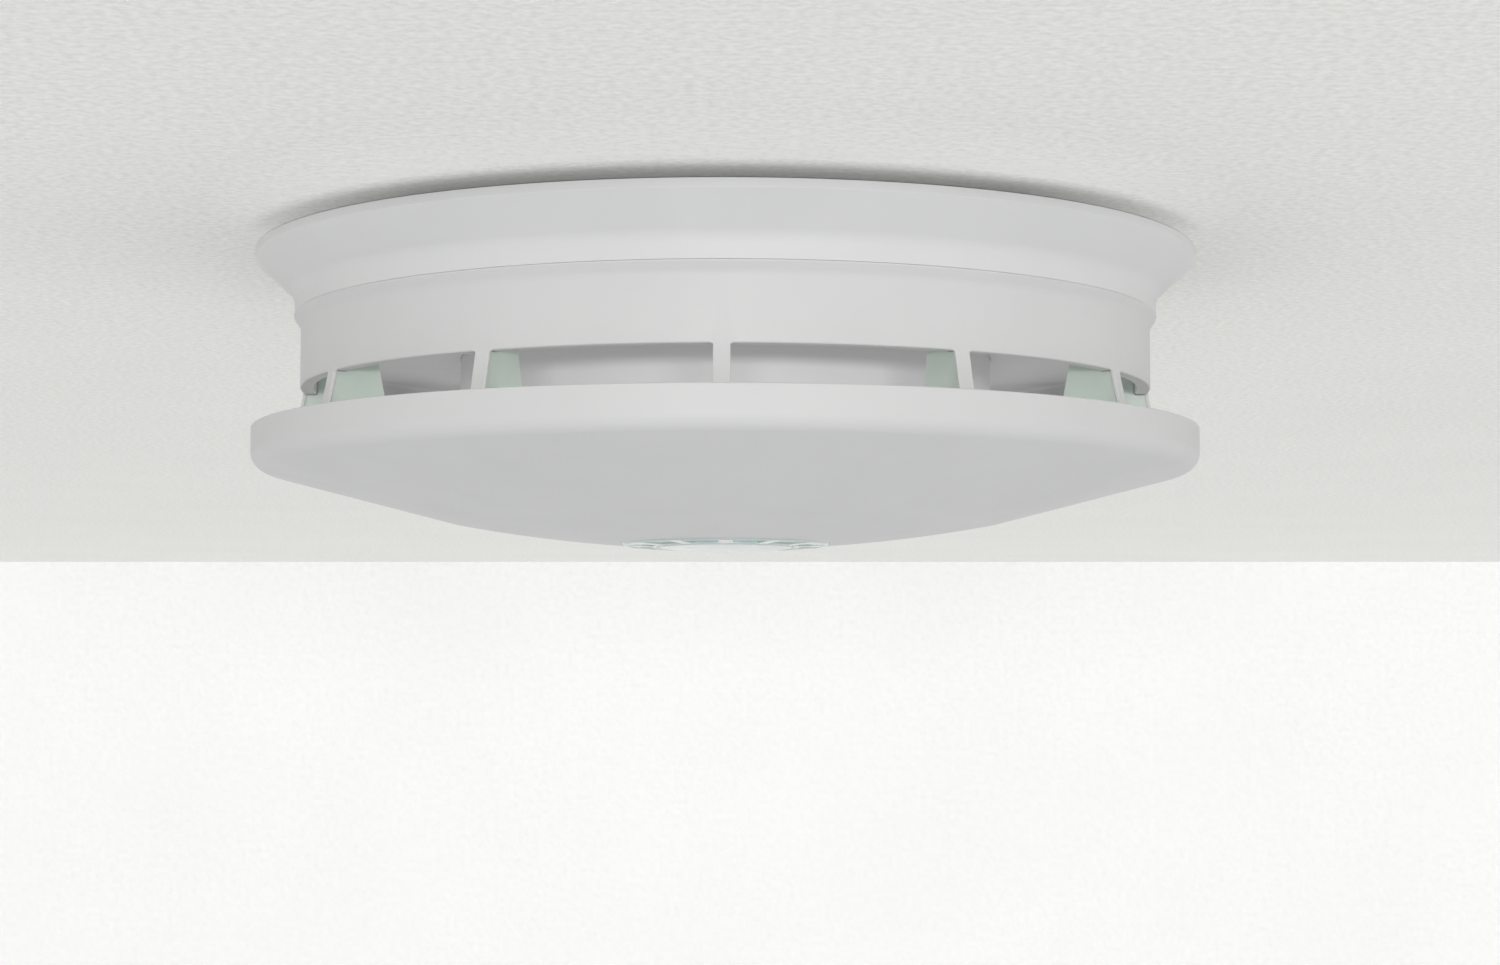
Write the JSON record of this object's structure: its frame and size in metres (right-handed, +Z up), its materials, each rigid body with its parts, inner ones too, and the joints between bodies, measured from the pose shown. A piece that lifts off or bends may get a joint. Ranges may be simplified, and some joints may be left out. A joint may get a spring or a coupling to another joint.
{
  "type": "smoke alarm",
  "caption": "Round ceiling smoke alarm: flared base, twist-off head with a ribbed open inlet ring, shallow conical disc below, lens ring and test button.",
  "frame": {"origin": "middle of the mounting base's flat back, on the ceiling plane", "axes": "+Z points up into the ceiling along the alarm's round axis, the alarm hangs towards -Z; -Y is the front, a rib stands there and the screw keyholes lie on X"},
  "size_m": [0.13, 0.13, 0.0403],
  "materials": {
    "white_plastic": "satin moulded",
    "shaded_white_plastic": "satin moulded",
    "pale_green_clear_plastic": "clear, polished",
    "black_plastic": "matte",
    "grey_plastic": "matte",
    "lamp_plastic": "clear",
    "board": "solder mask",
    "battery_can": "shrink wrap",
    "steel": "plated",
    "brass": "bright",
    "red_plastic": "satin"
  },
  "bodies": {
    "ceiling_base": {"mounting_base": "white_plastic"},
    "head": {"rear_cover": "white_plastic", "casing": "white_plastic", "front_cover": "white_plastic", "inlet_floor": "white_plastic", "inlet_shroud": "shaded_white_plastic", "vane_ring": "pale_green_clear_plastic", "lens_ring": "pale_green_clear_plastic", "chamber_base": "black_plastic", "chamber_cap": "black_plastic", "microcontroller": "black_plastic", "sounder_cup": "black_plastic", "sounder_lid": "black_plastic", "sounder_lead_black": "black_plastic", "slide_switch": "black_plastic", "tact_switch": "black_plastic", "bulkhead": "grey_plastic", "photodiode": "grey_plastic", "inductor": "grey_plastic", "switch_lead": "grey_plastic", "ir_emitter": "lamp_plastic", "lamp_1": "lamp_plastic", "lamp_2": "lamp_plastic", "lamp_3": "lamp_plastic", "lamp_4": "lamp_plastic", "main_board": "board", "battery": "battery_can", "insect_screen": "steel", "capacitor_1": "steel", "capacitor_2": "steel", "battery_tab_positive": "steel", "battery_tab_negative": "steel", "button_spring": "steel", "cover_screw_1": "steel", "cover_screw_2": "steel", "cover_screw_3": "steel", "cover_screw_4": "steel", "stack_screw_1": "steel", "stack_screw_2": "steel", "stack_screw_3": "steel", "stack_screw_4": "steel", "piezo_disc": "brass", "sounder_lead_red": "red_plastic"},
    "slider": {"activation_slider": "grey_plastic"},
    "button": {"test_button": "white_plastic"},
    "plunger": {"switch_plunger": "red_plastic"}
  },
  "joints": [
    {"name": "head_twist", "type": "hinge", "parent": "ceiling_base", "child": "head", "pos_m": [0, 0, 0], "axis": [0, 0, 1], "range_deg": [-15, 0]},
    {"name": "slider_hold", "type": "hinge", "parent": "head", "child": "slider", "pos_m": [0, 0, 0], "axis": [0, 0, 1], "range_deg": [0, 15]},
    {"name": "button_press", "type": "slide", "parent": "head", "child": "button", "axis": [0, 0, 1], "range_m": [0, 0.0009], "stiffness_N_per_m": 400, "springref_m": -0.002, "deforming": ["button_spring"]},
    {"name": "plunger_press", "type": "slide", "parent": "head", "child": "plunger", "axis": [0, 0, 1], "range_m": [0, 0.0009]}
  ],
  "couplings": [
    {"joint": "slider_hold", "follows": "head_twist", "ratio": -1},
    {"joint": "plunger_press", "follows": "button_press", "ratio": 1}
  ]
}
